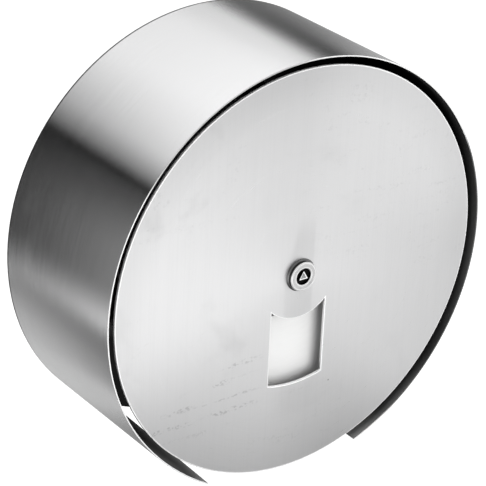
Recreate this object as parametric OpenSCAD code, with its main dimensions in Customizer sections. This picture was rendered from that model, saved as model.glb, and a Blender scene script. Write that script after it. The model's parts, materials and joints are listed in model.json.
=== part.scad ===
// Jumbo toilet roll dispenser: a steel drum on the wall, with a lift-off front cover.
// The wall is the plane y = 0, the front faces -Y and +Z is up.
// Every piece is drawn on a bench frame, with x to the right, y up and z forward
// from the wall, and from_wall() turns it onto the wall.

/* [Casing] */
// Outer diameter of the casing band and the back plate
casing_d = 300; // [260:1:360]
// Depth from the wall to the front rim
casing_depth = 121; // [115:1:160]
// Sheet thickness of the casing band
band_t = 1; // [0.8:0.1:3]
// Sheet thickness of the back plate
back_plate_t = 1.5; // [1:0.1:3]
// Paper outlet: angle from straight down to the band's left end
outlet_left = 27; // [10:1:45]
// Paper outlet: angle from straight down to the band's right end
outlet_right = 21; // [10:1:45]

/* [Wall fixing] */
// Distance between the wall holes across
wall_hole_x = 150; // [110:1:180]
// Distance between the wall holes up and down
wall_hole_y = 150; // [110:1:180]
// Diameter of the wall holes
wall_hole_d = 6.5; // [4:0.5:8]

/* [Front cover] */
// Open ring between the cover's edge and the band
cover_gap = 5.8; // [2:0.1:10]
// Sheet thickness of the cover
cover_t = 2; // [1:0.1:3]
// Distance of the cover's face behind the front rim
cover_inset = 2.5; // [1:0.1:6]
// Width of the window
window_w = 43.6; // [20:0.1:50]
// Radius of the window's top edge, about the lock
window_top_r = 31.5; // [30:0.1:40]
// Radius of the window's bottom edge, about the lock
window_bottom_r = 80; // [60:0.5:110]
// Width of the plate that stiffens the cover behind the lock
lock_plate_w = 64; // [54:1:80]
// Height of the plate that stiffens the cover behind the lock
lock_plate_h = 52; // [50:1:58]
// Sheet thickness of that plate
lock_plate_t = 1.5; // [1:0.1:2]
// Corner radius of that plate
lock_plate_corner = 5; // [1:0.5:12]

/* [Lock] */
// Diameter of the lock's head
lock_head_d = 20.5; // [19:0.1:24]
// Height of the lock's head above its rosette
lock_head_h = 2.6; // [2:0.1:5]
// Diameter of the rosette under the head
rosette_d = 22.6; // [21:0.1:30]
// Thickness of the rosette
rosette_t = 1.4; // [0.8:0.1:2]
// Diameter of the recess in the head
recess_d = 11.6; // [11:0.1:14]
// Depth of the recess in the head
recess_depth = 3; // [2:0.1:3.5]
// Diameter of the threaded barrel
barrel_d = 16; // [15:0.1:16.5]
// Distance across the barrel's two flats
barrel_flats = 14; // [13:0.1:14.8]
// Distance across the flats of the lock nut
lock_nut_af = 19; // [18:0.5:21]
// Thickness of the lock nut
lock_nut_t = 4; // [3:0.1:6]
// Thickness of the washer under the lock nut
lock_washer_t = 1; // [0.5:0.1:2]
// Diameter of the core that the key turns
core_d = 9; // [8.8:0.1:10]
// Height of the triangle that the key fits
drive_h = 6; // [5:0.1:8]
// Across the square tail that carries the cam
tail_w = 6; // [5.6:0.1:6.2]

/* [Quarter-turn cam] */
// Reach of the cam from the axis
cam_reach = 14.3; // [12:0.1:15]
// Width of the cam
cam_w = 8; // [6:0.1:9]
// Thickness of the cam
cam_t = 3; // [2:0.1:5]
// Thickness of the spring washer before the cam
cam_washer_t = 0.5; // [0.3:0.1:1]
// Thread diameter of the screw that holds the cam
cam_screw_d = 4; // [3:0.1:4]
// Head diameter of the screw that holds the cam
cam_screw_head_d = 9.5; // [8:0.1:11]
// Thickness of the slotted keeper in the axle's end
keeper_t = 3; // [2:0.1:4]
// Diameter of the two pins that keep the cover upright
pin_d = 3; // [2.5:0.1:4]
// Clearance between the pins and the lock nut
pin_gap = 0.8; // [0.5:0.1:1.5]

/* [Axle] */
// Outer diameter of the axle tube
tube_d = 42.4; // [41:0.1:46]
// Wall thickness of the axle tube
tube_t = 2.6; // [2:0.1:3]
// Thickness of the flange that carries the tube
flange_t = 3; // [2:0.1:5]
// Diameter of the circle that the flange's studs stand on
stud_circle_d = 63; // [57:0.5:70]
// Clearance between the nuts on the studs and the flange's boss
boss_gap = 1; // [0.5:0.1:1.5]
// Width of the flange outside its washers
flange_rim = 1.8; // [1:0.1:4]
// Thread diameter of the studs
stud_d = 5; // [4:0.5:6]
// Distance across the flats of the nuts on the studs
stud_nut_af = 8; // [7:0.5:8.5]
// Thickness of the nuts on the studs
stud_nut_t = 4; // [3:0.1:5]
// Thickness of the washers on the studs
stud_washer_t = 1; // [0.5:0.1:2]
// Thickness of the retaining ring
ring_t = 1.75; // [1:0.05:2.5]
// Depth of the retaining ring's groove
groove_depth = 1; // [0.5:0.1:1.4]
// How far the retaining ring stands out of the tube
ring_rise = 3.2; // [2:0.1:4]

/* [Hub] */
// Wall thickness of the two bushes
bush_t = 2.2; // [1.5:0.1:2.5]
// Length of each bush
bush_len = 12; // [8:0.5:20]
// Wall of the hub round its bushes
hub_wall = 2.2; // [1.5:0.1:2.5]
// Number of ribs on the hub
hub_ribs = 8; // [6:1:12]
// Width of each rib
rib_w = 3; // [2:0.1:4]
// Diameter of the hub's rear flange
hub_flange_d = 88; // [76:1:110]
// Thickness of the hub's rear flange
hub_flange_t = 3; // [2:0.1:5]
// Thickness of the two thrust washers
thrust_washer_t = 1; // [0.5:0.1:2]

/* [Paper roll] */
// Diameter of the part-used paper roll
roll_d = 200; // [120:1:240]
// Free space between the paper and the plate behind the lock
roll_front_gap = 8.7; // [6:0.1:20]
// Inner diameter of the cardboard core
core_bore_d = 60; // [58:1:70]
// Wall thickness of the cardboard core
core_wall = 4; // [1:0.5:5]

/* [Clearances] */
// Radial clearance of the bushes on the axle
running_gap = 0.05; // [0.02:0.01:0.1]
// Clearance between pieces that slide past each other
slide_gap = 0.3; // [0.2:0.05:0.4]
// Clearance between pieces that are pressed or screwed together
fit_gap = 0.02; // [0.01:0.01:0.05]
// End play of the hub and the cover's seat
end_play = 0.2; // [0.1:0.05:0.4]
// Free space left round nuts
nut_gap = 1.2; // [0.8:0.1:2]

/* [Hidden] */
$fn = 120;
// Facets of the small round holes and corners
small_fn = 48;
// How far a cutter runs past the surface that it cuts
cut = 1;

// Small sizes of the turned parts
socket_wall = 3;
socket_lap = 5;
stud_over = 1;
core_collar_t = 1;
drive_sunk = 0.4;
cam_screw_len = 12;
cam_screw_head_t = 2.6;
head_bevel = 0.7;
recess_bevel = 0.5;
// Where the retaining ring's gap begins, and how wide it is
ring_gap_start = 80;
ring_gap_angle = 20;

// Radii
casing_r = casing_d / 2;
band_inner_r = casing_r - band_t;
cover_r = band_inner_r - cover_gap;
tube_r = tube_d / 2;
tube_inner_r = tube_r - tube_t;
groove_r = tube_r - groove_depth;
bush_bore_r = tube_r + running_gap;
bush_r = bush_bore_r + bush_t;
hub_r = bush_r + hub_wall;
core_bore_r = core_bore_d / 2;
roll_bore_r = core_bore_r + core_wall;
rib_tip_r = core_bore_r - slide_gap;
barrel_r = barrel_d / 2;
lock_head_r = lock_head_d / 2;
recess_r = recess_d / 2;
core_r = core_d / 2;
pin_r = pin_d / 2;
lock_nut_r = lock_nut_af / 2 / cos(30);
pin_x = lock_nut_r + pin_gap + pin_r;
stud_nut_r = stud_nut_af / 2 / cos(30);
cam_hub_r = barrel_r - fit_gap;
socket_bore_r = tube_r + slide_gap;
socket_r = socket_bore_r + socket_wall;
socket_floor_r = pin_x + pin_r + slide_gap;
stud_washer_r = stud_nut_r + fit_gap;
flange_r = stud_circle_d / 2 + stud_washer_r + flange_rim;
boss_r = stud_circle_d / 2 - stud_nut_r - boss_gap;

// Places along the axis, as distances from the wall: first from the wall forwards
flange_z = back_plate_t;
stud_washer_z = flange_z + flange_t;
stud_nut_z = stud_washer_z + stud_washer_t;
stud_end_z = stud_nut_z + stud_nut_t + stud_over;
boss_end_z = stud_end_z + end_play;
hub_z = boss_end_z + thrust_washer_t + end_play;
roll_z = hub_z + hub_flange_t + slide_gap;

// Then from the front backwards
cover_face_z = casing_depth - cover_inset;
cover_back_z = cover_face_z - cover_t;
lock_plate_back_z = cover_back_z - lock_plate_t;
lock_washer_back_z = lock_plate_back_z - lock_washer_t;
lock_nut_back_z = lock_washer_back_z - lock_nut_t;
tube_end_z = lock_nut_back_z - nut_gap;
keeper_back_z = tube_end_z - keeper_t;
cam_face_z = keeper_back_z - slide_gap;
cam_back_z = cam_face_z - cam_t;
barrel_end_z = cam_face_z + cam_washer_t;
socket_end_z = tube_end_z - socket_lap;
ring_z = socket_end_z - nut_gap - ring_t;
front_washer_z = ring_z - thrust_washer_t;
hub_end_z = front_washer_z - end_play;
roll_w = lock_plate_back_z - roll_front_gap - roll_z;

// Places along the axis in the lock's head
head_z = cover_face_z + rosette_t;
head_face_z = head_z + lock_head_h;
recess_floor_z = head_face_z - recess_depth;
drive_end_z = head_face_z - drive_sunk;
tail_end_z = cam_back_z + end_play;

// Puts a piece drawn on the bench frame onto the wall, z forward of it
module from_wall(z = 0)
    rotate([90, 0, 0])
        translate([0, 0, z])
            children();

// Flat ring between two radii
module ring(outer_r, inner_r, height)
    linear_extrude(height)
        difference() {
            circle(outer_r);
            circle(inner_r);
        }

// Round part with two flats, as a profile
module flatted_circle(r, flats)
    intersection() {
        circle(r);
        square([flats, 3 * r], center = true);
    }

// Plate outline with round corners
module rounded_rect(w, h, corner)
    union() {
        square([w - 2 * corner, h], center = true);
        square([w, h - 2 * corner], center = true);
        for (sx = [-1, 1], sy = [-1, 1])
            translate([sx * (w / 2 - corner), sy * (h / 2 - corner)])
                circle(corner, $fn = small_fn);
    }

// The same piece at each of the flange's studs
module at_studs()
    for (a = [45 : 90 : 315])
        rotate([0, 0, a])
            translate([stud_circle_d / 2, 0, 0])
                children();

// The same piece at each of the two pins
module at_pins()
    for (side = [-1, 1])
        translate([side * pin_x, 0, 0])
            children();

module back_plate()
    color("silver")
        from_wall()
            linear_extrude(back_plate_t)
                difference() {
                    circle(casing_r);
                    for (sx = [-1, 1], sy = [-1, 1])
                        translate([sx * wall_hole_x / 2, sy * wall_hole_y / 2])
                            circle(d = wall_hole_d, $fn = small_fn);
                }

module casing_band()
    color("lightgray")
        from_wall(back_plate_t)
            rotate([0, 0, outlet_right - 90])
                rotate_extrude(angle = 360 - outlet_left - outlet_right)
                    translate([band_inner_r, 0])
                        square([band_t, casing_depth - back_plate_t]);

module spindle_flange()
    color("darkgray")
        from_wall(flange_z)
            difference() {
                union() {
                    cylinder(h = flange_t, r = flange_r);
                    cylinder(h = boss_end_z - flange_z, r = boss_r);
                }
                translate([0, 0, -cut])
                    cylinder(h = boss_end_z, r = tube_r + fit_gap);
                at_studs()
                    translate([0, 0, -cut])
                        cylinder(h = flange_t + 2 * cut, r = stud_d / 2 + slide_gap, $fn = small_fn);
            }

module flange_studs()
    color("gray")
        from_wall(flange_z)
            at_studs()
                cylinder(h = stud_end_z - flange_z, d = stud_d, $fn = small_fn);

module flange_washers()
    color("silver")
        from_wall(stud_washer_z)
            at_studs()
                ring(stud_washer_r, stud_d / 2 + slide_gap, stud_washer_t, $fn = small_fn);

module flange_nuts()
    color("silver")
        from_wall(stud_nut_z)
            at_studs()
                linear_extrude(stud_nut_t)
                    difference() {
                        circle(stud_nut_r, $fn = 6);
                        circle(stud_d / 2 + fit_gap, $fn = small_fn);
                    }

module spindle_tube()
    color("darkgray")
        from_wall()
            rotate_extrude()
                difference() {
                    translate([tube_inner_r, flange_z])
                        square([tube_t, tube_end_z - flange_z]);
                    translate([groove_r, ring_z - fit_gap])
                        square([groove_depth + cut, ring_t + 2 * fit_gap]);
                }

module keeper_disc()
    color("gray")
        from_wall(keeper_back_z)
            linear_extrude(keeper_t)
                difference() {
                    circle(tube_inner_r - fit_gap);
                    circle(barrel_r + slide_gap);
                    square([cam_w + 2 * slide_gap, 2 * (cam_reach + slide_gap)], center = true);
                    at_pins()
                        circle(pin_r + slide_gap, $fn = small_fn);
                }

module retaining_ring()
    color("dimgray")
        from_wall(ring_z)
            rotate([0, 0, ring_gap_start + ring_gap_angle])
                rotate_extrude(angle = 360 - ring_gap_angle)
                    translate([groove_r + fit_gap, 0])
                        square([groove_depth + ring_rise, ring_t]);

// Plain thrust washer, one at each end of the hub
module thrust_washer()
    ring(tube_r + ring_rise, tube_r + slide_gap, thrust_washer_t);

module rear_thrust_washer()
    color("whitesmoke")
        from_wall(boss_end_z)
            thrust_washer();

module front_thrust_washer()
    color("whitesmoke")
        from_wall(front_washer_z)
            thrust_washer();

module roll_hub()
    color("dimgray")
        from_wall(hub_z)
            difference() {
                union() {
                    cylinder(h = hub_flange_t, d = hub_flange_d);
                    cylinder(h = hub_end_z - hub_z, r = hub_r);
                    linear_extrude(hub_end_z - hub_z)
                        intersection() {
                            circle(rib_tip_r);
                            for (i = [0 : hub_ribs - 1])
                                rotate([0, 0, i * 360 / hub_ribs])
                                    translate([0, -rib_w / 2])
                                        square([core_bore_r, rib_w]);
                        }
                }
                translate([0, 0, -cut])
                    cylinder(h = casing_depth, r = (bush_bore_r + bush_r) / 2);
                for (z = [-cut, hub_end_z - hub_z - bush_len])
                    translate([0, 0, z])
                        cylinder(h = bush_len + cut, r = bush_r + fit_gap);
            }

// Plain bearing bush, one at each end of the hub
module bush()
    ring(bush_r, bush_bore_r, bush_len);

module rear_bush()
    color("ivory")
        from_wall(hub_z)
            bush();

module front_bush()
    color("ivory")
        from_wall(hub_end_z - bush_len)
            bush();

module roll_core()
    color("burlywood")
        from_wall(roll_z)
            ring(roll_bore_r - fit_gap, core_bore_r, roll_w);

module paper_roll()
    color("white")
        from_wall(roll_z)
            ring(roll_d / 2, roll_bore_r, roll_w);

module front_cover()
    color("gainsboro")
        from_wall(cover_back_z)
            linear_extrude(cover_t)
                difference() {
                    circle(cover_r);
                    flatted_circle(barrel_r + fit_gap, barrel_flats + 2 * fit_gap);
                    difference() {
                        intersection() {
                            circle(window_bottom_r);
                            translate([-window_w / 2, -window_bottom_r])
                                square([window_w, window_bottom_r]);
                        }
                        circle(window_top_r);
                    }
                }

module lock_plate()
    color("gray")
        from_wall(lock_plate_back_z)
            linear_extrude(lock_plate_t)
                difference() {
                    rounded_rect(lock_plate_w, lock_plate_h, lock_plate_corner);
                    flatted_circle(barrel_r + fit_gap, barrel_flats + 2 * fit_gap);
                    at_pins()
                        circle(pin_r + fit_gap, $fn = small_fn);
                }

module cover_socket()
    color("darkgray")
        from_wall()
            rotate_extrude()
                difference() {
                    translate([socket_floor_r, socket_end_z])
                        square([socket_r - socket_floor_r, lock_plate_back_z - socket_end_z]);
                    translate([0, socket_end_z - cut])
                        square([socket_bore_r, socket_lap + cut + end_play]);
                }

module locating_pins()
    color("silver")
        from_wall(keeper_back_z)
            at_pins()
                cylinder(h = cover_back_z - keeper_back_z, r = pin_r, $fn = small_fn);

module lock_rosette()
    color("silver")
        from_wall(cover_face_z)
            rotate_extrude()
                polygon([
                    [barrel_r + fit_gap, 0],
                    [rosette_d / 2, 0],
                    [rosette_d / 2, rosette_t / 2],
                    [rosette_d / 2 - rosette_t / 2, rosette_t],
                    [barrel_r + fit_gap, rosette_t]
                ]);

module lock_body()
    color("silver")
        from_wall()
            difference() {
                union() {
                    translate([0, 0, head_z])
                        cylinder(h = lock_head_h - head_bevel, r = lock_head_r);
                    translate([0, 0, head_face_z - head_bevel])
                        cylinder(h = head_bevel, r1 = lock_head_r, r2 = lock_head_r - head_bevel);
                    translate([0, 0, cover_face_z])
                        cylinder(h = rosette_t, r = barrel_r);
                    translate([0, 0, barrel_end_z])
                        linear_extrude(cover_face_z - barrel_end_z)
                            flatted_circle(barrel_r, barrel_flats);
                }
                translate([0, 0, barrel_end_z - cut])
                    cylinder(h = casing_depth, r = core_r + running_gap);
                translate([0, 0, recess_floor_z])
                    cylinder(h = recess_depth + cut, r = recess_r);
                translate([0, 0, head_face_z - recess_bevel])
                    cylinder(h = recess_bevel + cut, r1 = recess_r, r2 = recess_r + recess_bevel + cut);
            }

module lock_washer()
    color("gainsboro")
        from_wall(lock_washer_back_z)
            ring(lock_nut_af / 2, barrel_r + fit_gap, lock_washer_t);

module lock_nut()
    color("silver")
        from_wall(lock_nut_back_z)
            linear_extrude(lock_nut_t)
                difference() {
                    circle(lock_nut_r, $fn = 6);
                    circle(barrel_r + fit_gap);
                }

module lock_core()
    color("gray")
        from_wall()
            difference() {
                union() {
                    translate([0, 0, recess_floor_z])
                        cylinder(h = core_collar_t, r = recess_r - slide_gap / 2);
                    translate([0, 0, barrel_end_z])
                        cylinder(h = recess_floor_z - barrel_end_z, r = core_r);
                    translate([0, 0, tail_end_z])
                        linear_extrude(barrel_end_z - tail_end_z)
                            square(tail_w, center = true);
                    translate([0, 0, recess_floor_z + core_collar_t])
                        linear_extrude(drive_end_z - recess_floor_z - core_collar_t)
                            rotate([0, 0, 90])
                                circle(drive_h * 2 / 3, $fn = 3);
                }
                translate([0, 0, tail_end_z - cut])
                    cylinder(h = cam_screw_len + cut, d = cam_screw_d + 2 * fit_gap, $fn = small_fn);
            }

module cam_washer()
    color("gainsboro")
        from_wall(cam_face_z)
            ring(barrel_flats / 2, tail_w / 2 / cos(45) + fit_gap, cam_washer_t);

module lock_cam()
    color("darkgray")
        from_wall(cam_back_z)
            linear_extrude(cam_t)
                difference() {
                    union() {
                        circle(cam_hub_r);
                        intersection() {
                            circle(cam_reach);
                            square([cam_w, 2 * cam_reach], center = true);
                        }
                    }
                    square(tail_w + 2 * fit_gap, center = true);
                }

module cam_screw()
    color("silver")
        from_wall(cam_back_z)
            union() {
                translate([0, 0, -cam_screw_head_t])
                    cylinder(h = cam_screw_head_t, d = cam_screw_head_d);
                cylinder(h = cam_screw_len, d = cam_screw_d, $fn = small_fn);
            }

back_plate();
casing_band();
spindle_flange();
flange_studs();
flange_washers();
flange_nuts();
spindle_tube();
keeper_disc();
retaining_ring();
rear_thrust_washer();
front_thrust_washer();
roll_hub();
rear_bush();
front_bush();
roll_core();
paper_roll();
front_cover();
lock_plate();
cover_socket();
locating_pins();
lock_rosette();
lock_body();
lock_washer();
lock_nut();
lock_core();
cam_washer();
lock_cam();
cam_screw();
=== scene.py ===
import json
import math
import random

import bmesh
import bpy
from mathutils import Matrix, Vector


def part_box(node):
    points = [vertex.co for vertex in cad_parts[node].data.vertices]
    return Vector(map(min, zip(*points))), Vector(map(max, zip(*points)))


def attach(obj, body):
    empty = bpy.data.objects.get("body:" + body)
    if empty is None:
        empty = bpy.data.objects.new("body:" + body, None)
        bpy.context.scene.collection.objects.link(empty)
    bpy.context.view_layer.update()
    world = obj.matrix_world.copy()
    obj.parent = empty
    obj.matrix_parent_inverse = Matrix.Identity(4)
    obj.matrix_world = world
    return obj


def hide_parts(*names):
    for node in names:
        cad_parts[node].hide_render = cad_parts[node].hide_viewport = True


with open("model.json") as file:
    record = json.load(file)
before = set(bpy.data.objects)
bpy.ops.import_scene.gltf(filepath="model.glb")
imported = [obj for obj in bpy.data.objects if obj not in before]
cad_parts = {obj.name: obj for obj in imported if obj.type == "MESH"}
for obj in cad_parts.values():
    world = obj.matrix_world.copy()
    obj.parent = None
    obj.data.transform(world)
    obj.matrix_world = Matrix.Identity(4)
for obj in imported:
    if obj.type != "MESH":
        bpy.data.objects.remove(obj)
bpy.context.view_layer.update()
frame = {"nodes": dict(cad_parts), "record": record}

scene = bpy.context.scene
nodes = frame["nodes"]
mm = 0.001
toDegrees = 180 / math.pi
drumAxis = (0, 1, 0)
print("frame loaded:", len(nodes), "CAD nodes")


cameraValues = {
    "place": (-0.7945, -1.1098, 0.6289),
    "azimuth": 36.99,      # degrees to the left of the drum's axis
    "elevation": 25.59,
    "roll": 2.64,
    "lens": 161.8,
    "sensor": 36.0,
}


def makeCamera(values):
    azimuth, elevation, roll = (math.radians(values[k]) for k in ("azimuth", "elevation", "roll"))
    back = Vector((-math.sin(azimuth) * math.cos(elevation),
                   -math.cos(azimuth) * math.cos(elevation), math.sin(elevation)))
    level = Vector((math.cos(azimuth), -math.sin(azimuth), 0))
    rise = back.cross(level)
    right = math.cos(roll) * level + math.sin(roll) * rise
    up = -math.sin(roll) * level + math.cos(roll) * rise
    data = bpy.data.cameras.new("photoCamera")
    data.lens = values["lens"]
    data.sensor_width = values["sensor"]
    camera = bpy.data.objects.new("photoCamera", data)
    scene.collection.objects.link(camera)
    camera.matrix_world = Matrix.LocRotScale(
        Vector(values["place"]), Matrix((right, up, back)).transposed(), None)
    scene.camera = camera


makeCamera(cameraValues)


def setSocket(tree, socket, value):
    if isinstance(value, bpy.types.NodeSocket):
        tree.links.new(value, socket)
    else:
        socket.default_value = value


def addNode(tree, kind, inputs=None, **settings):
    node = tree.nodes.new(kind)
    for key, value in settings.items():
        setattr(node, key, value)
    for key, value in (inputs or {}).items():
        setSocket(tree, node.inputs[key], value)
    return node


def calc(tree, operation, first, second=0.0):
    return addNode(tree, "ShaderNodeMath", {0: first, 1: second}, operation=operation).outputs[0]


def product(tree, first, *others):
    for other in others:
        first = calc(tree, "MULTIPLY", first, other)
    return first


def plus(tree, first, *others):
    for other in others:
        first = calc(tree, "ADD", first, other)
    return first


def fade(tree, value, low, high, toLow=0.0, toHigh=1.0, smooth=True):
    node = addNode(tree, "ShaderNodeMapRange", {
        "Value": value, "From Min": low, "From Max": high, "To Min": toLow, "To Max": toHigh},
        interpolation_type="SMOOTHSTEP" if smooth else "LINEAR")
    return node.outputs["Result"]


# Most of a noise lies in this range
noiseRange = (0.3, 0.7)


def spreadOver(tree, noise, low, high):
    return fade(tree, noise, *noiseRange, low, high, False)


def lengths(values):
    return [value * mm for value in values]


# The mix node's two colours are its inputs 6 and 7, and the blended one is its output 2
def blendColor(tree, factor, first, second):
    return addNode(tree, "ShaderNodeMix", {0: factor, 6: first, 7: second},
                   data_type="RGBA").outputs[2]


def grey(level, tint=0.0):
    return (level, level, level * (1 + tint), 1)


def splitPlace(tree, place):
    return addNode(tree, "ShaderNodeSeparateXYZ", {0: place}).outputs


# Degrees from straight up round the drum's axis, turning to the left
def turnAngle(tree, split):
    return product(tree, calc(tree, "ARCTAN2", product(tree, split["X"], -1.0), split["Z"]),
                   toDegrees)


def newGroup(name, inputs, outputs):
    group = bpy.data.node_groups.new(name, "ShaderNodeTree")
    for label, kind, value in inputs:
        socket = group.interface.new_socket(label, in_out="INPUT", socket_type=kind)
        if value is not None:
            socket.default_value = value
    for label, kind in outputs:
        group.interface.new_socket(label, in_out="OUTPUT", socket_type=kind)
    start = group.nodes.new("NodeGroupInput")
    end = group.nodes.new("NodeGroupOutput")
    return group, start.outputs, end.inputs


def useGroup(tree, group, inputs=None):
    return addNode(tree, "ShaderNodeGroup", inputs, node_tree=group).outputs


floatSocket, vectorSocket = "NodeSocketFloat", "NodeSocketVector"
grainValues = {"fineDetail": 3.0, "fineRoughness": 0.65, "fineShare": 0.75,
               "broadScale": 0.17, "broadDetail": 2.0, "broadRoughness": 0.5, "broadShare": 0.25,
               "scratchEdge": (0.34, 0.28)}


# Brushed lines as noise that is stretched along the grain
def addLines(group, vector, scratches, out, values):
    fine = addNode(group, "ShaderNodeTexNoise", {
        "Vector": vector, "Scale": 1.0, "Detail": values["fineDetail"],
        "Roughness": values["fineRoughness"]}).outputs[0]
    broad = addNode(group, "ShaderNodeTexNoise", {
        "Vector": vector, "Scale": values["broadScale"], "Detail": values["broadDetail"],
        "Roughness": values["broadRoughness"]}).outputs[0]
    lines = plus(group, product(group, fine, values["fineShare"]),
                 product(group, broad, values["broadShare"]))
    group.links.new(lines, out["Lines"])
    deep = fade(group, fine, *values["scratchEdge"])
    height = calc(group, "SUBTRACT", lines, product(group, deep, scratches))
    group.links.new(height, out["Height"])


# Fine brushed lines that run round the drum's axis, on a rim, or on a flat face where Flat is 1
def makeRoundGrain(values):
    group, given, out = newGroup(
        "roundGrain",
        [("Vector", vectorSocket, None), ("Turns", floatSocket, 4.0), ("Fine", floatSocket, 900.0),
         ("Flat", floatSocket, 0.0), ("Scratches", floatSocket, 0.5)],
        [("Lines", floatSocket), ("Height", floatSocket), ("Radius", floatSocket)])
    split = splitPlace(group, given["Vector"])
    flat = addNode(group, "ShaderNodeCombineXYZ", {"X": split["X"], "Z": split["Z"]}).outputs[0]
    radius = addNode(group, "ShaderNodeVectorMath", {0: flat}, operation="LENGTH").outputs["Value"]
    outward = addNode(group, "ShaderNodeVectorMath", {0: flat}, operation="NORMALIZE")
    turned = addNode(group, "ShaderNodeVectorMath", {0: outward.outputs[0], 3: given["Turns"]},
                     operation="SCALE")
    turn = splitPlace(group, turned.outputs[0])
    onRim = product(group, split["Y"], calc(group, "SUBTRACT", 1.0, given["Flat"]))
    onFace = product(group, radius, given["Flat"])
    crossing = product(group, plus(group, onRim, onFace), given["Fine"])
    joined = addNode(group, "ShaderNodeCombineXYZ", {
        "X": turn["X"], "Y": crossing, "Z": turn["Z"]})
    addLines(group, joined.outputs[0], given["Scratches"], out, values)
    group.links.new(radius, out["Radius"])
    return group


def makeStraightGrain(values):
    group, given, out = newGroup(
        "straightGrain",
        [("Vector", vectorSocket, None), ("Stretch", vectorSocket, None),
         ("Scratches", floatSocket, 0.5)],
        [("Lines", floatSocket), ("Height", floatSocket)])
    stretched = addNode(group, "ShaderNodeVectorMath", {0: given["Vector"], 1: given["Stretch"]},
                        operation="MULTIPLY")
    addLines(group, stretched.outputs[0], given["Scratches"], out, values)
    return group


smudgeValues = {"detail": 5.0, "roughness": 0.6, "distortion": 0.4, "edge": (0.56, 0.72)}


def makeSmudges(values):
    group, given, out = newGroup(
        "smudges",
        [("Vector", vectorSocket, None), ("Size", floatSocket, 14.0), ("Amount", floatSocket, 1.0)],
        [("Mask", floatSocket), ("Cloud", floatSocket)])
    cloud = addNode(group, "ShaderNodeTexNoise", {
        "Vector": given["Vector"], "Scale": given["Size"], "Detail": values["detail"],
        "Roughness": values["roughness"], "Distortion": values["distortion"]}).outputs[0]
    group.links.new(cloud, out["Cloud"])
    spots = fade(group, cloud, *values["edge"])
    group.links.new(product(group, spots, given["Amount"]), out["Mask"])
    return group


scuffValues = {"rowDetail": 2.0, "rowDistortion": 1.2, "rowEdge": (0.52, 0.66),
               "dashScale": 420.0, "dashDetail": 3.0, "dashRoughness": 0.7, "dashEdge": (0.5, 0.66),
               "areaScale": 11.0, "areaEdge": (0.46, 0.6),
               "pitEdge": (0.010, 0.026), "pitChoice": 0.72}


# Rows of faint short scuffs and a few small pits, as steel sheet gets in use
def makeScuffs(values):
    group, given, out = newGroup(
        "scuffs",
        [("Vector", vectorSocket, None), ("Rows", vectorSocket, None),
         ("Pits", floatSocket, 28.0)],
        [("Scuffs", floatSocket), ("Pits", floatSocket)])
    place = given["Vector"]
    rows = addNode(group, "ShaderNodeVectorMath", {0: place, 1: given["Rows"]},
                   operation="MULTIPLY")
    row = addNode(group, "ShaderNodeTexNoise", {
        "Vector": rows.outputs[0], "Scale": 1.0, "Detail": values["rowDetail"],
        "Distortion": values["rowDistortion"]})
    dashes = addNode(group, "ShaderNodeTexNoise", {
        "Vector": place, "Scale": values["dashScale"], "Detail": values["dashDetail"],
        "Roughness": values["dashRoughness"]})
    area = addNode(group, "ShaderNodeTexNoise", {"Vector": place, "Scale": values["areaScale"]})
    scuff = product(group, fade(group, row.outputs[0], *values["rowEdge"]),
                    fade(group, dashes.outputs[0], *values["dashEdge"]),
                    fade(group, area.outputs[0], *values["areaEdge"]))
    group.links.new(scuff, out["Scuffs"])
    cells = addNode(group, "ShaderNodeTexVoronoi", {"Vector": place, "Scale": given["Pits"]})
    chance = addNode(group, "ShaderNodeSeparateColor", {0: cells.outputs["Color"]}).outputs[0]
    pit = product(group, fade(group, cells.outputs["Distance"], *values["pitEdge"], 1.0, 0.0),
                  calc(group, "GREATER_THAN", chance, values["pitChoice"]))
    group.links.new(pit, out["Pits"])
    return group


roundGrain = makeRoundGrain(grainValues)
straightGrain = makeStraightGrain(grainValues)
smudges = makeSmudges(smudgeValues)
scuffs = makeScuffs(scuffValues)


def startMaterial(name, metallic=0.0, anisotropy=0.0, specular=0.5):
    material = bpy.data.materials.new(name)
    material.use_nodes = True
    tree = material.node_tree
    tree.nodes.clear()
    surface = addNode(tree, "ShaderNodeBsdfPrincipled", {
        "Metallic": metallic, "Anisotropic": anisotropy, "Specular IOR Level": specular})
    addNode(tree, "ShaderNodeOutputMaterial", {"Surface": surface.outputs[0]})
    place = addNode(tree, "ShaderNodeTexCoord").outputs["Object"]
    return material, tree, surface, place


def setSurface(tree, surface, color, roughness, height, bump):
    strength, depth = bump
    bumped = addNode(tree, "ShaderNodeBump", {
        "Height": height, "Strength": strength, "Distance": depth * mm})
    setSocket(tree, surface.inputs["Base Color"], color)
    setSocket(tree, surface.inputs["Roughness"], roughness)
    setSocket(tree, surface.inputs["Normal"], bumped.outputs[0])


# The pieces mark their cut edges for a painted highlight, and their hidden and recessed faces for
# painted shade
def marked(tree, name):
    return addNode(tree, "ShaderNodeAttribute", attribute_name=name).outputs["Fac"]


# Faces with the painted highlight are less metallic, so their light colour reads as a highlight
highlightMetallic = 0.4


# Painted shade goes on the hidden and recessed faces, a painted highlight on the cut edges
def colorMarks(tree, surface, color, paintedShade, paintedHighlight, darkShare=1.0):
    color = blendColor(tree, product(tree, marked(tree, "paintedShade"), darkShare), color, paintedShade)
    color = blendColor(tree, marked(tree, "paintedHighlight"), color, paintedHighlight)
    metal = fade(tree, marked(tree, "paintedHighlight"), 0.0, 1.0, 1.0, highlightMetallic, False)
    tree.links.new(metal, surface.inputs["Metallic"])
    return color


quarterTurn = 0.25


# Metal that was brushed round the axis: the grain spreads what it reflects across itself
def brushRound(tree, surface, place):
    surface.inputs["Anisotropic Rotation"].default_value = quarterTurn
    around = addNode(tree, "ShaderNodeVectorMath", {0: place, 1: drumAxis},
                     operation="CROSS_PRODUCT")
    tree.links.new(around.outputs[0], surface.inputs["Tangent"])


def grainColor(tree, grain, values):
    return blendColor(tree, grain["Lines"], grey(values["color"] - values["spread"]),
                      grey(values["color"] + values["spread"], values["tint"]))


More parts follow.
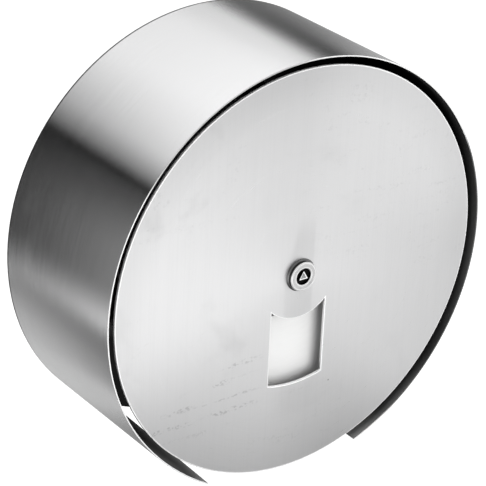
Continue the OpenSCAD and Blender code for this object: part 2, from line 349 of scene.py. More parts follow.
bandFinish = {
    "color": 0.66, "spread": 0.035, "tint": 0.01, "roughness": (0.185, 0.235), "anisotropy": 0.95,
    # edge is the colour of the painted highlight on the cut edges
    "turns": 7.0, "fine": 2200.0, "edge": 0.95, "bump": (0.02, 0.04),   # strength, mm
    "smudgeSize": 16.0, "smudgeRoughness": 0.03, "insideRoughness": 0.2,
    "scuffRows": (20, 160, 20), "scuffColor": 0.85, "scuffShare": 0.12,
    "pits": 20.0, "pitColor": 0.2, "pitShare": 0.7,
    # The inside levels are painted shade: near black, lighter under the right rim and at the low
    # ends
    "insideShadeLevel": 0.018, "insideRimShade": 0.13, "insideLowShade": 0.4, "insideEndsShade": 0.55,
    "rimPlace": (-108.0, -121.0), "rightSide": (20.0, 110.0),   # mm
    "lowHeight": (-90.0, -135.0), "endHeight": (-125.0, -138.0),   # mm
    # direction in degrees, from mm, to mm, share of light left
    "rimShadedSides": ((-105.0, 99.0, 120.0, 0.12), (28.0, 128.0, 143.0, 0.5)),
    # degrees per metre of depth, then degrees
    "cornerLean": 200.0, "cornerFrom": (135.0, 149.0), "cornerTo": (144.0, 134.0),
    "cornerShadeShare": 0.62,
}


# The front rim's painted highlight is painted darker towards some sides, as painted shade
def rimHighlightLevel(tree, split, values):
    level = 1.0
    for toward, start, end, low in values["rimShadedSides"]:
        turn = math.radians(toward)
        distance = plus(tree, product(tree, split["X"], -math.sin(turn)),
                        product(tree, split["Z"], math.cos(turn)))
        level = product(tree, fade(tree, distance, *lengths((start, end)), 1.0, low), level)
    return level


# Painted shade: the outside is painted darker in the corner by the outlet's left end
def paintedCornerShade(tree, split, values):
    angle = turnAngle(tree, split)
    lean = product(tree, split["Y"], values["cornerLean"])
    leaning = calc(tree, "SUBTRACT", angle, lean)
    return product(tree, fade(tree, leaning, *values["cornerFrom"]),
                   fade(tree, angle, *values["cornerTo"]), values["cornerShadeShare"])


# Painted shade: the inside is painted nearly black, with less of it under the rim on the right and
# least at the low ends
def paintedInsideShade(tree, split, values):
    nearRim = product(tree, fade(tree, split["Y"], *lengths(values["rimPlace"])),
                      fade(tree, split["X"], *lengths(values["rightSide"])))
    low = fade(tree, split["Z"], *lengths(values["lowHeight"]))
    atEnds = fade(tree, split["Z"], *lengths(values["endHeight"]))
    color = blendColor(tree, low, grey(values["insideRimShade"]), grey(values["insideLowShade"]))
    color = blendColor(tree, nearRim, grey(values["insideShadeLevel"]), color)
    return blendColor(tree, atEnds, color, grey(values["insideEndsShade"]))


def makeBandFinish(values):
    material, tree, surface, place = startMaterial("bandFinish", 1.0, values["anisotropy"])
    grain = useGroup(tree, roundGrain, {
        "Vector": place, "Turns": values["turns"], "Fine": values["fine"]})
    marks = useGroup(tree, smudges, {"Vector": place, "Size": values["smudgeSize"]})
    wear = useGroup(tree, scuffs, {
        "Vector": place, "Rows": values["scuffRows"], "Pits": values["pits"]})
    split = splitPlace(tree, place)
    color = grainColor(tree, grain, values)
    scuffed = product(tree, wear["Scuffs"], values["scuffShare"])
    color = blendColor(tree, scuffed, color, grey(values["scuffColor"]))
    pitted = product(tree, wear["Pits"], values["pitShare"])
    color = blendColor(tree, pitted, color, grey(values["pitColor"]))
    # Painted shade darkens the outside near the outlet's left end
    color = blendColor(tree, paintedCornerShade(tree, split, values), color, grey(0.0))
    # The cut edges get a painted highlight, dimmed by painted shade towards some sides
    edge = blendColor(tree, rimHighlightLevel(tree, split, values), grey(0.0), grey(values["edge"]))
    color = colorMarks(tree, surface, color, paintedInsideShade(tree, split, values), edge)
    roughness = plus(tree, spreadOver(tree, grain["Lines"], *values["roughness"]),
                     product(tree, marks["Mask"], values["smudgeRoughness"]),
                     product(tree, marked(tree, "paintedShade"), values["insideRoughness"]))
    setSurface(tree, surface, color, roughness, grain["Height"], values["bump"])
    brushRound(tree, surface, place)
    return material


coverFinish = {
    "color": 0.70, "spread": 0.025, "tint": 0.01, "roughness": (0.27, 0.33), "anisotropy": 0.8,
    "turns": 5.0, "fine": 1800.0, "scratches": 0.2, "bump": (0.03, 0.04),   # strength, mm
    # behind is the painted shade on the back faces, edge the painted highlight on the cut edges
    "behind": 0.2, "edge": 1.0,
    "smudgeSize": 18.0, "smudgeShade": 0.03, "smudgeRoughness": 0.05,
    "scuffRows": (26, 20, 95), "scuffShade": 0.08, "pitShade": 0.6,
    "uprightStretch": (900, 900, 14), "uprightEdge": (0.4, 0.7), "uprightShare": 0.04,
    "uprightColor": 0.3,
    "rimEdge": (112.0, 142.0), "rimHeight": (-60.0, 20.0), "rimShade": 0.07,   # mm, mm, share
    # These values place a painted reflection of something dark over and under the lock
    "reflectionLeft": (-15.0, -9.0), "reflectionRight": (12.0, 9.0), "reflectionLean": 0.26,   # mm, mm per mm
    "reflectionHeight": (46.0, 24.0), "reflectionFoot": (-40.0, -34.0), "reflectionShade": 0.09,   # mm, share
    "rubStep": 11.0, "rubRows": (0.1, 0.9), "rubLean": 2.0,   # mm, sine, mm per mm
    "rubLeft": (30.0, 62.0), "rubRight": (-22.0, -46.0),   # mm
    "rubTop": (-32.0, -42.0), "rubFoot": (-104.0, -84.0), "rubShade": 0.24,   # mm, share
    # stretch of the noise, then the two levels that it fades in between
    "rubNoise": (((28, 28, 110), 0.43, 0.54), ((460, 460, 640), 0.49, 0.6)),
}


# A faint painted reflection of something dark stands over and under the lock, with a leaning left
# side and a soft top
def addPaintedReflection(tree, split, values):
    rise = calc(tree, "MAXIMUM", split["Z"], 0.0)
    leaning = calc(tree, "SUBTRACT", split["X"], product(tree, rise, values["reflectionLean"]))
    return product(tree, fade(tree, leaning, *lengths(values["reflectionLeft"])),
                   fade(tree, split["X"], *lengths(values["reflectionRight"])),
                   fade(tree, split["Z"], *lengths(values["reflectionHeight"])),
                   fade(tree, split["Z"], *lengths(values["reflectionFoot"])), values["reflectionShade"])


# Faint level rows of rubbing marks lie low on the left
def addRubbing(tree, place, split, values):
    wave = product(tree, split["Z"], 2 * math.pi / (values["rubStep"] * mm))
    marks = fade(tree, calc(tree, "SINE", wave), *values["rubRows"])
    for stretch, low, high in values["rubNoise"]:
        stretched = addNode(tree, "ShaderNodeVectorMath", {0: place, 1: stretch},
                            operation="MULTIPLY").outputs[0]
        noise = addNode(tree, "ShaderNodeTexNoise", {
            "Vector": stretched, "Scale": 1.0, "Detail": 2.0})
        marks = product(tree, marks, fade(tree, noise.outputs[0], low, high))
    leaning = calc(tree, "SUBTRACT", split["X"], product(tree, split["Z"], values["rubLean"]))
    return product(tree, marks, fade(tree, leaning, *lengths(values["rubLeft"])),
                   fade(tree, split["X"], *lengths(values["rubRight"])),
                   fade(tree, split["Z"], *lengths(values["rubTop"])),
                   fade(tree, split["Z"], *lengths(values["rubFoot"])), values["rubShade"])


def makeCoverFinish(values):
    material, tree, surface, place = startMaterial("coverFinish", 1.0, values["anisotropy"])
    grain = useGroup(tree, roundGrain, {
        "Vector": place, "Turns": values["turns"], "Fine": values["fine"], "Flat": 1.0,
        "Scratches": values["scratches"]})
    marks = useGroup(tree, smudges, {"Vector": place, "Size": values["smudgeSize"]})
    wear = useGroup(tree, scuffs, {"Vector": place, "Rows": values["scuffRows"]})
    upright = useGroup(tree, straightGrain, {"Vector": place, "Stretch": values["uprightStretch"]})
    split = splitPlace(tree, place)
    streaks = fade(tree, upright["Lines"], *values["uprightEdge"], 0.0, values["uprightShare"])
    color = grainColor(tree, grain, values)
    color = blendColor(tree, streaks, color, grey(values["uprightColor"]))
    # Painted shade lies near the rim on the upper part of the cover
    rim = product(tree, fade(tree, grain["Radius"], *lengths(values["rimEdge"])),
                  fade(tree, split["Z"], *lengths(values["rimHeight"])), values["rimShade"])
    # The darkening sums painted reflection and painted shade with real rubbing marks, scuffs, pits
    # and smudges
    shade = plus(tree, addPaintedReflection(tree, split, values), rim, addRubbing(tree, place, split, values),
                 product(tree, wear["Scuffs"], values["scuffShade"]),
                 product(tree, wear["Pits"], values["pitShade"]),
                 product(tree, marks["Mask"], values["smudgeShade"]))
    color = blendColor(tree, shade, color, grey(0.0))
    # Painted shade on the faces behind, a painted highlight on the cut edges
    color = colorMarks(tree, surface, color, grey(values["behind"]), grey(values["edge"]))
    roughness = plus(tree, spreadOver(tree, grain["Lines"], *values["roughness"]),
                     product(tree, marks["Mask"], values["smudgeRoughness"]))
    setSurface(tree, surface, color, roughness, grain["Height"], values["bump"])
    brushRound(tree, surface, place)
    return material


plateFinish = {
    "low": 0.44, "high": 0.56, "anisotropy": 0.5, "roughness": (0.3, 0.4), "grain": (30, 30, 1400),
    "smudged": 0.46, "smudgeSize": 12.0, "smudgeAmount": 0.6,
    "scuffRows": (20, 20, 80), "scuffShare": 0.3, "scuffColor": 0.7,
    # edge is the colour of the painted shade on the faces towards the drum; the next colour is for
    # a painted highlight
    "edge": 0.03, "paintedHighlight": 0.8, "bump": (0.06, 0.05),   # strength, mm
    "shadeEdge": (84.0, 108.0), "rimEdge": (149.5, 149.8), "rimShare": 0.8,   # mm, mm, share
}


# Painted shade: the back plate's faces towards the drum are painted dark outside the roll
def makeSheetFinish(values):
    material, tree, surface, place = startMaterial("sheetFinish", 1.0, values["anisotropy"])
    grain = useGroup(tree, straightGrain, {"Vector": place, "Stretch": values["grain"]})
    marks = useGroup(tree, smudges, {
        "Vector": place, "Size": values["smudgeSize"], "Amount": values["smudgeAmount"]})
    wear = useGroup(tree, scuffs, {"Vector": place, "Rows": values["scuffRows"]})
    color = blendColor(tree, grain["Lines"], grey(values["low"]), grey(values["high"]))
    color = blendColor(tree, marks["Mask"], color, grey(values["smudged"]))
    scuffed = product(tree, wear["Scuffs"], values["scuffShare"])
    color = blendColor(tree, scuffed, color, grey(values["scuffColor"]))
    split = splitPlace(tree, place)
    radius = calc(tree, "SQRT", plus(tree, product(tree, split["X"], split["X"]),
                                     product(tree, split["Z"], split["Z"])))
    shade = product(tree, fade(tree, radius, *lengths(values["shadeEdge"])),
                    fade(tree, radius, *lengths(values["rimEdge"]), 1.0, values["rimShare"]))
    color = colorMarks(tree, surface, color, grey(values["edge"]), grey(values["paintedHighlight"]), shade)
    setSurface(tree, surface, color, spreadOver(tree, grain["Lines"], *values["roughness"]),
               grain["Height"], values["bump"])
    return material


turnedValues = {"turns": 3.0, "fine": 2600.0, "spotSize": 160.0, "spotAmount": 0.5,
                "low": 0.86, "high": 1.12, "spot": 0.6,   # shares of the colour
                "smooth": 0.8, "rough": 1.25, "bump": (0.08, 0.04)}   # strength, mm


def makeTurnedMetal(name, color, roughness, fine=turnedValues["fine"], metallic=1.0,
                    anisotropy=0.3, marks=None, values=turnedValues):
    material, tree, surface, place = startMaterial(name, metallic, anisotropy)
    grain = useGroup(tree, roundGrain, {
        "Vector": place, "Turns": values["turns"], "Fine": fine, "Flat": 1.0})
    spots = useGroup(tree, smudges, {"Vector": place, "Size": values["spotSize"]})
    shade = blendColor(tree, grain["Lines"], grey(color * values["low"]),
                       grey(color * values["high"]))
    spotted = product(tree, spots["Mask"], values["spotAmount"])
    shade = blendColor(tree, spotted, shade, grey(color * values["spot"]))
    if marks:
        shade = colorMarks(tree, surface, shade, grey(marks[0]), grey(marks[1]))
    level = spreadOver(tree, spots["Cloud"], roughness * values["smooth"],
                       roughness * values["rough"])
    setSurface(tree, surface, shade, level, grain["Height"], values["bump"])
    brushRound(tree, surface, place)
    return material


zincFinish = {"patches": 700.0, "low": (0.60, 0.61, 0.64, 1), "high": (0.74, 0.75, 0.77, 1),
              "spot": (0.50, 0.48, 0.42, 1), "spotSize": 200.0, "spotAmount": 0.5,
              "roughness": (0.22, 0.38), "bump": (0.06, 0.05)}   # strength, mm


def makeZincFinish(values):
    material, tree, surface, place = startMaterial("zincFinish", 1.0)
    patches = addNode(tree, "ShaderNodeTexVoronoi", {
        "Vector": place, "Scale": values["patches"]}).outputs["Distance"]
    marks = useGroup(tree, smudges, {"Vector": place, "Size": values["spotSize"]})
    color = blendColor(tree, patches, values["low"], values["high"])
    spotted = product(tree, marks["Mask"], values["spotAmount"])
    color = blendColor(tree, spotted, color, values["spot"])
    setSurface(tree, surface, color, spreadOver(tree, marks["Cloud"], *values["roughness"]),
               patches, values["bump"])
    return material


plasticValues = {"detail": 4.0, "noiseRoughness": 0.6, "spotSize": 60.0, "spotAmount": 0.35,
                 "low": 0.88, "high": 1.10,   # shares of the colour
                 "smooth": 0.08, "rough": 0.1, "bump": (0.15, 0.1)}   # strength, mm


def makePlastic(name, color, spot, roughness, scale, values=plasticValues):
    material, tree, surface, place = startMaterial(name)
    pits = addNode(tree, "ShaderNodeTexNoise", {
        "Vector": place, "Scale": scale, "Detail": values["detail"],
        "Roughness": values["noiseRoughness"]}).outputs[0]
    marks = useGroup(tree, smudges, {"Vector": place, "Size": values["spotSize"]})
    shade = blendColor(tree, pits, (*(c * values["low"] for c in color), 1),
                       (*(min(1, c * values["high"]) for c in color), 1))
    spotted = product(tree, marks["Mask"], values["spotAmount"])
    shade = blendColor(tree, spotted, shade, (*spot, 1))
    level = spreadOver(tree, marks["Cloud"], roughness - values["smooth"],
                       roughness + values["rough"])
    setSurface(tree, surface, shade, level, pits, values["bump"])
    return material


boardFinish = {"low": (0.30, 0.20, 0.115, 1), "high": (0.52, 0.39, 0.26, 1),
               "fibre": (0.60, 0.48, 0.34, 1), "fibreScale": 900.0, "fibreEdge": (0.55, 0.75),
               "turns": 30.0, "fine": 700.0, "specular": 0.2, "roughness": 0.85,
               "seam": (0.20, 0.13, 0.07, 1), "seamAmount": 0.6,
               "seamPitch": 62.0, "seamWidth": 0.035,   # mm, share of the pitch
               "bump": (0.3, 0.2)}   # strength, mm


# Wound board with a seam that runs round it as a helix
def makeBoardFinish(values):
    material, tree, surface, place = startMaterial("boardFinish", specular=values["specular"])
    plies = useGroup(tree, roundGrain, {
        "Vector": place, "Turns": values["turns"], "Fine": values["fine"], "Flat": 1.0})
    fibre = addNode(tree, "ShaderNodeTexNoise", {
        "Vector": place, "Scale": values["fibreScale"], "Detail": 5.0, "Roughness": 0.7}).outputs[0]
    color = blendColor(tree, plies["Lines"], values["low"], values["high"])
    color = blendColor(tree, fade(tree, fibre, *values["fibreEdge"]), color, values["fibre"])
    split = splitPlace(tree, place)
    turn = calc(tree, "DIVIDE", calc(tree, "ARCTAN2", split["X"], split["Z"]), 2 * math.pi)
    along = calc(tree, "DIVIDE", split["Y"], values["seamPitch"] * mm)
    wound = calc(tree, "FRACT", plus(tree, turn, along))
    seam = calc(tree, "LESS_THAN", wound, values["seamWidth"])
    color = blendColor(tree, product(tree, seam, values["seamAmount"]), color, values["seam"])
    height = calc(tree, "SUBTRACT", fibre, seam)
    setSurface(tree, surface, color, values["roughness"], height, values["bump"])
    return material


tissueFinish = {"low": (0.88, 0.88, 0.875, 1), "high": (0.97, 0.97, 0.965, 1),
                "turns": 6.0, "fine": 1500.0, "crepeScale": 1500.0, "crepeShare": 0.6,
                "specular": 0.1, "roughness": 0.95, "bump": (0.3, 0.3)}   # strength, mm


def makeTissueFinish(values):
    material, tree, surface, place = startMaterial("tissueFinish", specular=values["specular"])
    layers = useGroup(tree, roundGrain, {
        "Vector": place, "Turns": values["turns"], "Fine": values["fine"], "Flat": 1.0})
    crepe = addNode(tree, "ShaderNodeTexNoise", {
        "Vector": place, "Scale": values["crepeScale"], "Detail": 4.0, "Roughness": 0.7})
    color = blendColor(tree, layers["Lines"], values["low"], values["high"])
    height = plus(tree, layers["Height"], product(tree, crepe.outputs[0], values["crepeShare"]))
    setSurface(tree, surface, color, values["roughness"], height, values["bump"])
    return material


finishes = {
    "brushed_band": makeBandFinish(bandFinish),
    "brushed_cover": makeCoverFinish(coverFinish),
    "brushed_sheet": makeSheetFinish(plateFinish),
    "plain_steel": makeTurnedMetal("plainSteel", 0.45, 0.36),
    "zinc_steel": makeZincFinish(zincFinish),
    "spring_steel": makeTurnedMetal("springSteel", 0.09, 0.42, metallic=0.6),
    # The lock's marks paint shade on its walls and recess and a painted highlight on its front
    # faces and edges
    "lock_nickel": makeTurnedMetal("lockNickel", 0.52, 0.22, fine=3000.0, anisotropy=0.8,
                                   marks=(0.07, 0.78)),
    "lock_dark": makeTurnedMetal("lockRosette", 0.20, 0.3, fine=3000.0),
    "lock_core_metal": makeTurnedMetal("lockCore", 0.40, 0.45, marks=(0.008, 1.0)),
    "hub_plastic": makePlastic("hubPlastic", (0.055, 0.055, 0.06), (0.10, 0.10, 0.10), 0.5, 1300.0),
    "bearing_plastic": makePlastic("bearingPlastic", (0.80, 0.78, 0.72), (0.70, 0.66, 0.56), 0.42,
                                   900.0),
    "core_board": makeBoardFinish(boardFinish),
    "tissue": makeTissueFinish(tissueFinish),
}
slotOf = {s["node"]: s["material_slot"] for s in frame["record"]["subparts"]}
bodyOf = {n: body for body, members in frame["record"]["behaviour"]["bodies"].items()
          for n in members}
for nodeName, node in nodes.items():
    node.data.materials.clear()
    node.data.materials.append(finishes[slotOf[nodeName]])
print("finishes made:", len(finishes))


def makeObject(bm, name, material):
    mesh = bpy.data.meshes.new(name)
    bm.to_mesh(mesh)
    bm.free()
    mesh.materials.append(material)
    thing = bpy.data.objects.new(name, mesh)
    scene.collection.objects.link(thing)
    return thing


def finishPiece(bm, name, standsFor, flatEdges=True):
    piece = makeObject(bm, name, finishes[slotOf[standsFor]])
    piece.data.shade_smooth()
    if flatEdges:
        weighted = piece.modifiers.new("evenFaces", "WEIGHTED_NORMAL")
        weighted.keep_sharp = True
    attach(piece, bodyOf[standsFor])
    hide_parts(standsFor)


meshValues = {"weld": 0.002, "collapse": 0.001, "flat": 0.2, "sharp": 30.0}   # mm, mm, degrees


def mergedCopy(node, values):
    bm = bmesh.new()
    bm.from_mesh(nodes[node].data)
    bmesh.ops.remove_doubles(bm, verts=bm.verts[:], dist=values["weld"] * mm)
    bmesh.ops.dissolve_limit(bm, angle_limit=math.radians(values["flat"]), verts=bm.verts[:],
                             edges=bm.edges[:])
    return bm


def softenEdges(bm, width, segments, values):
    sharp = math.radians(values["sharp"])
    edges = [e for e in bm.edges if len(e.link_faces) == 2 and e.calc_face_angle(0) > sharp]
    bmesh.ops.bevel(bm, geom=edges, offset=width, offset_type="OFFSET", segments=segments,
                    profile=0.5, affect="EDGES", clamp_overlap=True, material=-1)
    bmesh.ops.remove_doubles(bm, verts=bm.verts[:], dist=values["collapse"] * mm)
    bmesh.ops.dissolve_degenerate(bm, dist=values["collapse"] * mm, edges=bm.edges[:])


def axisDistance(point):
    return math.hypot(point.x, point.z)


def reach(node):
    low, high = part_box(node)
    return {"radius": high[0], "front": low[1], "back": high[1]}


reachOf = {name: reach(name) for name in nodes}
markValues = {
    # limits for how squarely a face looks that way, from 0 to 1
    "bandFront": 0.8, "bandEnd": 0.5, "bandInside": 0.3, "coverBack": 0.5, "plateBack": 0.9,
    "headWall": 0.3, "headFront": 0.5, "headFlat": 0.999,
    "largestRimFace": 60.0,   # square mm
    "headSunk": 0.09, "triangleSunk": 0.26, "triangleMiddle": 0.8,   # mm
}


# Each rule says which faces are cut edges, for a painted highlight, and which ones are hidden or
# recessed, for painted shade
def bandMarks(face, values):
    normal, centre = face.normal, face.calc_center_median()
    outward = (normal.x * centre.x + normal.z * centre.z) / axisDistance(centre)
    atEnd = abs(outward) < values["bandEnd"] and abs(normal.y) < values["bandEnd"]
    if normal.y < -values["bandFront"] or atEnd:
        return "paintedHighlight"
    return "paintedShade" if outward < -values["bandInside"] else None


def coverMarks(face, values):
    if face.normal.y > values["coverBack"]:
        return "paintedShade"
    aroundLock = axisDistance(face.calc_center_median()) < reachOf["lock_rosette"]["radius"]
    large = face.calc_area() > values["largestRimFace"] * mm * mm
    return None if aroundLock or large else "paintedHighlight"


def plateMarks(face, values):
    return "paintedShade" if face.normal.y < values["plateBack"] else None


# The lock head's walls get painted shade, its front faces a painted highlight
def headMarks(face, values):
    normal, centre = face.normal, face.calc_center_median()
    if centre.y > reachOf["front_cover"]["front"]:
        return None
    if abs(normal.y) < values["headWall"]:
        return "paintedShade"
    sunk = centre.y > reachOf["lock_body"]["front"] + values["headSunk"] * mm
    sunkFlat = sunk and normal.y < -values["headFlat"]
    return "paintedHighlight" if normal.y < -values["headFront"] and not sunkFlat else None


# The key triangle's recess gets painted shade, its edges a painted highlight
def triangleMarks(face, values):
    centre = face.calc_center_median()
    if centre.y > reachOf["lock_core"]["front"] + values["triangleSunk"] * mm:
        return "paintedShade"
    return "paintedHighlight" if axisDistance(centre) > values["triangleMiddle"] * mm else None


def markFaces(bm, rule, values):
    layers = {name: bm.faces.layers.float.new(name) for name in ("paintedHighlight", "paintedShade")}
    for face in bm.faces:
        name = rule(face, values)
        if name:
            face[layers[name]] = 1.0


# A rim is set off round the front face, and what lies inside the rim may be sunk a little
frontRims = {   # node: width and depth in mm
    "lock_core": (0.6, 0.25),
    "lock_body": (0.55, 0.12),
    "front_cover": (0.8, 0.0),
}
frontFace = {"squarely": 0.99, "within": 0.01}   # share, mm


def setOffRim(bm, front, width, depth, values):
    deepest = front + values["within"] * mm
    end = [f for f in bm.faces
           if f.normal.y < -values["squarely"] and f.calc_center_median().y < deepest]
    bmesh.ops.inset_region(bm, faces=end, thickness=width, depth=-depth, use_even_offset=True)


# The free front corner at the outlet's left end has sprung outwards a little
springValues = {"fromAngle": 126.0, "toAngle": 153.0, "reach": 2.2}   # degrees, degrees, mm


def springCorner(bm, values):
    back, front = reachOf["casing_band"]["back"], reachOf["casing_band"]["front"]
    for vert in bm.verts:
        angle = math.degrees(math.atan2(-vert.co.x, vert.co.z))
        share = (angle - values["fromAngle"]) / (values["toAngle"] - values["fromAngle"])
        if share > 0:
            forward = (back - vert.co.y) / (back - front)
            grown = 1 + values["reach"] * mm * share ** 2 * forward / axisDistance(vert.co)
            vert.co.x *= grown
            vert.co.z *= grown


edgeSoftness = {   # node: piece, width in mm, segments, rule
    "casing_band": ("bandSheet", 0.22, 2, bandMarks),
    "back_plate": ("backSheet", 0.3, 2, plateMarks),
    "front_cover": ("coverSheet", 0.35, 2, coverMarks),
    "lock_plate": ("stiffener", 0.3, 2, None),
    "spindle_flange": ("axleFlange", 0.4, 2, None),
    "spindle_tube": ("axleTube", 0.3, 2, None),
    "keeper_disc": ("keeper", 0.3, 2, None),
    "cover_socket": ("coverSocket", 0.4, 2, None),
    "roll_hub": ("hub", 0.5, 2, None),
    "roll_core": ("boardTube", 0.3, 2, None),
    "lock_body": ("lockHead", 0.25, 2, headMarks),
    "lock_rosette": ("rosette", 0.12, 2, None),
    "lock_core": ("lockTriangle", 0.15, 1, triangleMarks),
    "lock_nut": ("lockNut", 0.25, 2, None),
    "lock_cam": ("cam", 0.3, 2, None),
    "flange_nuts": ("studNuts", 0.25, 2, None),
    "flange_washers": ("studWashers", 0.12, 2, None),
}
for nodeName, (pieceName, width, segments, rule) in edgeSoftness.items():
    bm = mergedCopy(nodeName, meshValues)
    if nodeName == "casing_band":
        springCorner(bm, springValues)
    if nodeName in frontRims:
        rimWidth, rimDepth = frontRims[nodeName]
        setOffRim(bm, reachOf[nodeName]["front"], rimWidth * mm, rimDepth * mm, frontFace)
    softenEdges(bm, width * mm, segments, meshValues)
    if rule:
        markFaces(bm, rule, markValues)
    finishPiece(bm, pieceName, nodeName)
print("softened pieces:", len(edgeSoftness))


# The wound roll: ridged end faces, soft corners and a last layer that ends in a step
rollValues = {
    "windings": 44, "steps": 160, "seed": 7,
    "ridge": 0.15, "corner": 1.2, "layer": 0.3,   # mm
    "boreGap": 0.02, "boreInset": 0.1, "overlap": 0.05,   # mm
    "bendAngles": (0, 30, 60, 90), "lastTurn": 345.0,   # degrees
    "thinnest": 0.03,   # share of a layer
}


def spinProfile(bm, points, steps, angle=2 * math.pi, filled=False, merge=True):
    verts = [bm.verts.new((0, y, r)) for r, y in points]
    geom = [*verts]
    if filled:
        geom.append(bm.faces.new(verts))
        geom += list(geom[-1].edges)
    else:
        geom += [bm.edges.new((a, b)) for a, b in zip(verts, verts[1:] + verts[:1])]
    bmesh.ops.spin(bm, geom=geom, cent=(0, 0, 0), axis=drumAxis, angle=angle, steps=steps,
                   use_merge=merge)


def makeRoll(values):
    size, core = reach("paper_roll"), reach("roll_core")
    layer, corner, overlap, inset = lengths(
        values[k] for k in ("layer", "corner", "overlap", "boreInset"))
    bore, outer = core["radius"] + values["boreGap"] * mm, size["radius"] - layer
    front, back = size["front"], size["back"]
    chance = random.Random(values["seed"])
    ridges = [chance.uniform(0, values["ridge"]) * mm for i in range(values["windings"])]
    step = (outer - corner - bore) / values["windings"]
    faceIn = [(bore + (i + 0.5) * step, ridge) for i, ridge in enumerate(ridges)]
    bend = [(outer - corner + corner * math.sin(math.radians(a)),
             corner * (1 - math.cos(math.radians(a)))) for a in values["bendAngles"]]
    frontSide = [(r, front + d) for r, d in faceIn + bend]
    backSide = [(r, back - d) for r, d in reversed(faceIn + bend)]
    bm = bmesh.new()
    spinProfile(bm, [(bore, front + inset), *frontSide, *backSide, (bore, back - inset)],
                values["steps"])
    tail = [(outer - overlap, front + corner), (outer + layer, front + corner),
            (outer + layer, back - corner), (outer - overlap, back - corner)]
    before = set(bm.verts)
    turn = math.radians(values["lastTurn"])
    spinProfile(bm, tail, values["steps"], turn, filled=True, merge=False)
    for vert in set(bm.verts) - before:   # the layer thins out almost to nothing where it starts
        turned = math.atan2(vert.co.x, vert.co.z) % (2 * math.pi) / turn
        if axisDistance(vert.co) > outer:
            wanted = outer + layer * max(values["thinnest"], min(1.0, turned))
            scale = wanted / axisDistance(vert.co)
            vert.co.x *= scale
            vert.co.z *= scale
    bmesh.ops.recalc_face_normals(bm, faces=bm.faces[:])
    finishPiece(bm, "tissueRoll", "paper_roll", flatEdges=False)


makeRoll(rollValues)
print("roll wound")


def stageObject(bm, name, material):
    thing = makeObject(bm, name, material)
    return thing


def startStageMaterial(name):
    material = bpy.data.materials.new(name)
    material.use_nodes = True
    material.node_tree.nodes.clear()
    return material, material.node_tree


def seenRays(tree):
    path = addNode(tree, "ShaderNodeLightPath").outputs
    return calc(tree, "MAXIMUM", path["Is Camera Ray"],
                calc(tree, "MAXIMUM", path["Is Glossy Ray"], path["Is Transmission Ray"]))


floorValues = {"height": -0.5, "size": 10.0, "lift": 0.72, "color": 0.8}


def makeFloor(values):
    material, tree = startStageMaterial("floorWhite")
    base = addNode(tree, "ShaderNodeBsdfDiffuse", {"Color": grey(values["color"])})
    lift = addNode(tree, "ShaderNodeEmission", {
        "Strength": product(tree, seenRays(tree), values["lift"])})
    both = addNode(tree, "ShaderNodeAddShader", {0: base.outputs[0], 1: lift.outputs[0]})
    addNode(tree, "ShaderNodeOutputMaterial", {"Surface": both.outputs[0]})
    bm = bmesh.new()
    bmesh.ops.create_grid(bm, x_segments=1, y_segments=1, size=values["size"] / 2)
    bmesh.ops.translate(bm, verts=bm.verts[:], vec=(0, 0, values["height"]))
    stageObject(bm, "floor", material)


worldValues = {"diffuse": 0.48, "seen": 1.0}


def makeWorld(values):
    world = bpy.data.worlds.new("studio")
    scene.world = world
    world.use_nodes = True
    tree = world.node_tree
    tree.nodes.clear()
    strength = fade(tree, seenRays(tree), 0.0, 1.0, values["diffuse"], values["seen"], False)
    shade = addNode(tree, "ShaderNodeBackground", {"Color": grey(1.0), "Strength": strength})
    addNode(tree, "ShaderNodeOutputWorld", {"Surface": shade.outputs[0]})


# What the bare metal reflects. A light tent stands round the drum, with soft boxes on it.
# Their angles are in degrees from straight up, turning to the left, from 57 round to 417.
tentValues = {
    "radius": 0.45, "front": -0.234, "back": 1.6, "farFrom": 0.05, "farTo": 0.35, "steps": 96,
    "firstAngle": 57.0, "dimFrom": 0.12, "dimTo": -0.02, "dimLevel": 0.6,
    "boxes": {   # start, end, blur of each, strength beside the drum and further back
        "leftFill": (65, 116, 40, 8, 0.65, 0.0),
        "leftStrip": (107, 117, 18, 4, 1.4, 0.0),
        "lowStrip": (150, 156, 10, 6, 2.1, 0.0),
        "rearLow": (132, 254, 50, 40, 0.0, 0.75),
        "rightLow": (235, 248, 10, 10, 0.5, 0.3),
        "right": (255, 303, 8, 4, 1.2, 0.25),
        "rightStrip": (319, 323, 4, 4, 0.0, 2.4),
        "top": (326, 408, 12, 18, 1.4, 0.3),
        "topRear": (326, 388, 24, 40, 0.45, 0.85),
        "topEdge": (386, 413, 18, 6, 0.22, 0.08),
    },
}
# The front dome is what the flat cover reflects: a tall soft box on each side of it
domeValues = {
    "centre": (0, -0.118, 0), "radius": 0.45, "reach": 75.0, "around": 96, "rings": 64,
    "sideEdge": (35, 48),   # degrees to the right of the drum's axis
    "left": {"lowEdge": (-53, -33), "highEdge": (-9, 5), "low": 0.25, "middle": 1.35, "high": 0.55},
    "right": {"lowEdge": (-43, -39), "highEdge": (-21, -11), "low": 0.0, "middle": 0.85,
              "high": 1.1},
}


def onlyReflected(thing):
    thing.visible_camera = False
    thing.visible_diffuse = False
    thing.visible_transmission = False
    thing.visible_volume_scatter = False
    thing.visible_shadow = False


def glowMaterial(tree, strength):
    glow = addNode(tree, "ShaderNodeEmission", {"Strength": strength})
    addNode(tree, "ShaderNodeOutputMaterial", {"Surface": glow.outputs[0]})


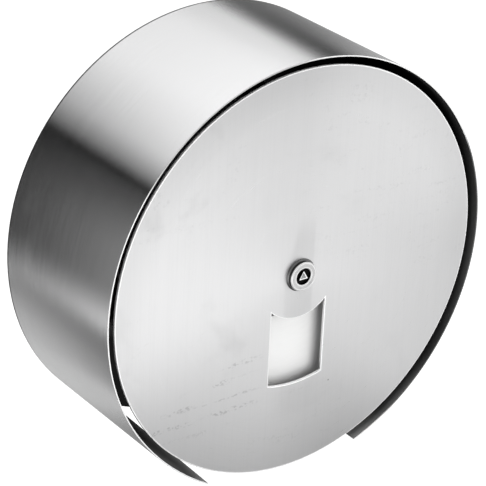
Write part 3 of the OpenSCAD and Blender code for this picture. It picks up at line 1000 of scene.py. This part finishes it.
def makeTent(values):
    material, tree = startStageMaterial("tentPanels")
    split = splitPlace(tree, addNode(tree, "ShaderNodeTexCoord").outputs["Object"])
    angle = turnAngle(tree, split)
    early = calc(tree, "LESS_THAN", angle, values["firstAngle"])
    angle = plus(tree, angle, product(tree, early, 360.0))
    far = fade(tree, split["Y"], values["farFrom"], values["farTo"])
    glows = []
    for start, end, startBlur, endBlur, near, further in values["boxes"].values():
        glows.append(product(
            tree, fade(tree, angle, start - startBlur / 2, start + startBlur / 2),
            fade(tree, angle, end - endBlur / 2, end + endBlur / 2, 1.0, 0.0),
            fade(tree, far, 0.0, 1.0, near, further, False)))
    dim = fade(tree, split["Y"], values["dimFrom"], values["dimTo"], 1.0, values["dimLevel"])
    glowMaterial(tree, product(tree, plus(tree, *glows), dim))
    bm = bmesh.new()
    edge = [bm.verts.new((0, y, values["radius"])) for y in (values["front"], values["back"])]
    line = bm.edges.new(edge)
    bmesh.ops.spin(bm, geom=[*edge, line], cent=(0, 0, 0), axis=drumAxis, angle=2 * math.pi,
                   steps=values["steps"], use_merge=True)
    onlyReflected(stageObject(bm, "lightTent", material))


def makeDome(values):
    material, tree = startStageMaterial("domePanels")
    place = addNode(tree, "ShaderNodeTexCoord").outputs["Object"]
    centred = addNode(tree, "ShaderNodeVectorMath", {0: place, 1: values["centre"]},
                      operation="SUBTRACT")
    split = splitPlace(tree, centred.outputs[0])
    side = calc(tree, "ARCTAN2", split["X"], product(tree, split["Y"], -1.0))
    side = product(tree, side, toDegrees)
    rise = calc(tree, "ARCSINE", calc(tree, "DIVIDE", split["Z"], values["radius"]))
    rise = product(tree, rise, toDegrees)
    halves = []
    for name in ("left", "right"):
        box = values[name]
        low = blendColor(tree, fade(tree, rise, *box["lowEdge"]), grey(box["low"]),
                         grey(box["middle"]))
        halves.append(blendColor(tree, fade(tree, rise, *box["highEdge"]), low,
                                 grey(box["high"])))
    glowMaterial(tree, blendColor(tree, fade(tree, side, *values["sideEdge"]), *halves))
    bm = bmesh.new()
    bmesh.ops.create_uvsphere(bm, u_segments=values["around"], v_segments=values["rings"],
                              radius=values["radius"])
    bmesh.ops.translate(bm, verts=bm.verts[:], vec=values["centre"])
    forward = values["radius"] * math.cos(math.radians(values["reach"]))
    frontPlane = (0, values["centre"][1] - forward, 0)
    bmesh.ops.bisect_plane(bm, geom=[*bm.verts, *bm.edges, *bm.faces], plane_co=frontPlane,
                           plane_no=(0, 1, 0), clear_outer=True)
    onlyReflected(stageObject(bm, "frontDome", material))


lampAim = (0, -0.06, 0)
lampValues = {   # place, size in metres, radiance
    "frontLamp": ((-0.2, -2.2, 0.35), 1.5, 3.6),
    "topLamp": ((-0.8, -0.8, 2.0), 1.4, 1.4),
}


def addLamp(name, place, size, radiance):
    data = bpy.data.lights.new(name, "AREA")
    data.shape = "SQUARE"
    data.size = size
    data.energy = radiance * math.pi * size * size
    lamp = bpy.data.objects.new(name, data)
    scene.collection.objects.link(lamp)
    lamp.location = place
    toAim = Vector(lampAim) - Vector(place)
    lamp.rotation_euler = toAim.to_track_quat("-Z", "Y").to_euler()
    lamp.visible_glossy = False


makeFloor(floorValues)
makeWorld(worldValues)
makeTent(tentValues)
makeDome(domeValues)
for lampName, (place, size, radiance) in lampValues.items():
    addLamp(lampName, place, size, radiance)
scene.view_settings.view_transform = "Standard"
print("floor and lamps made")
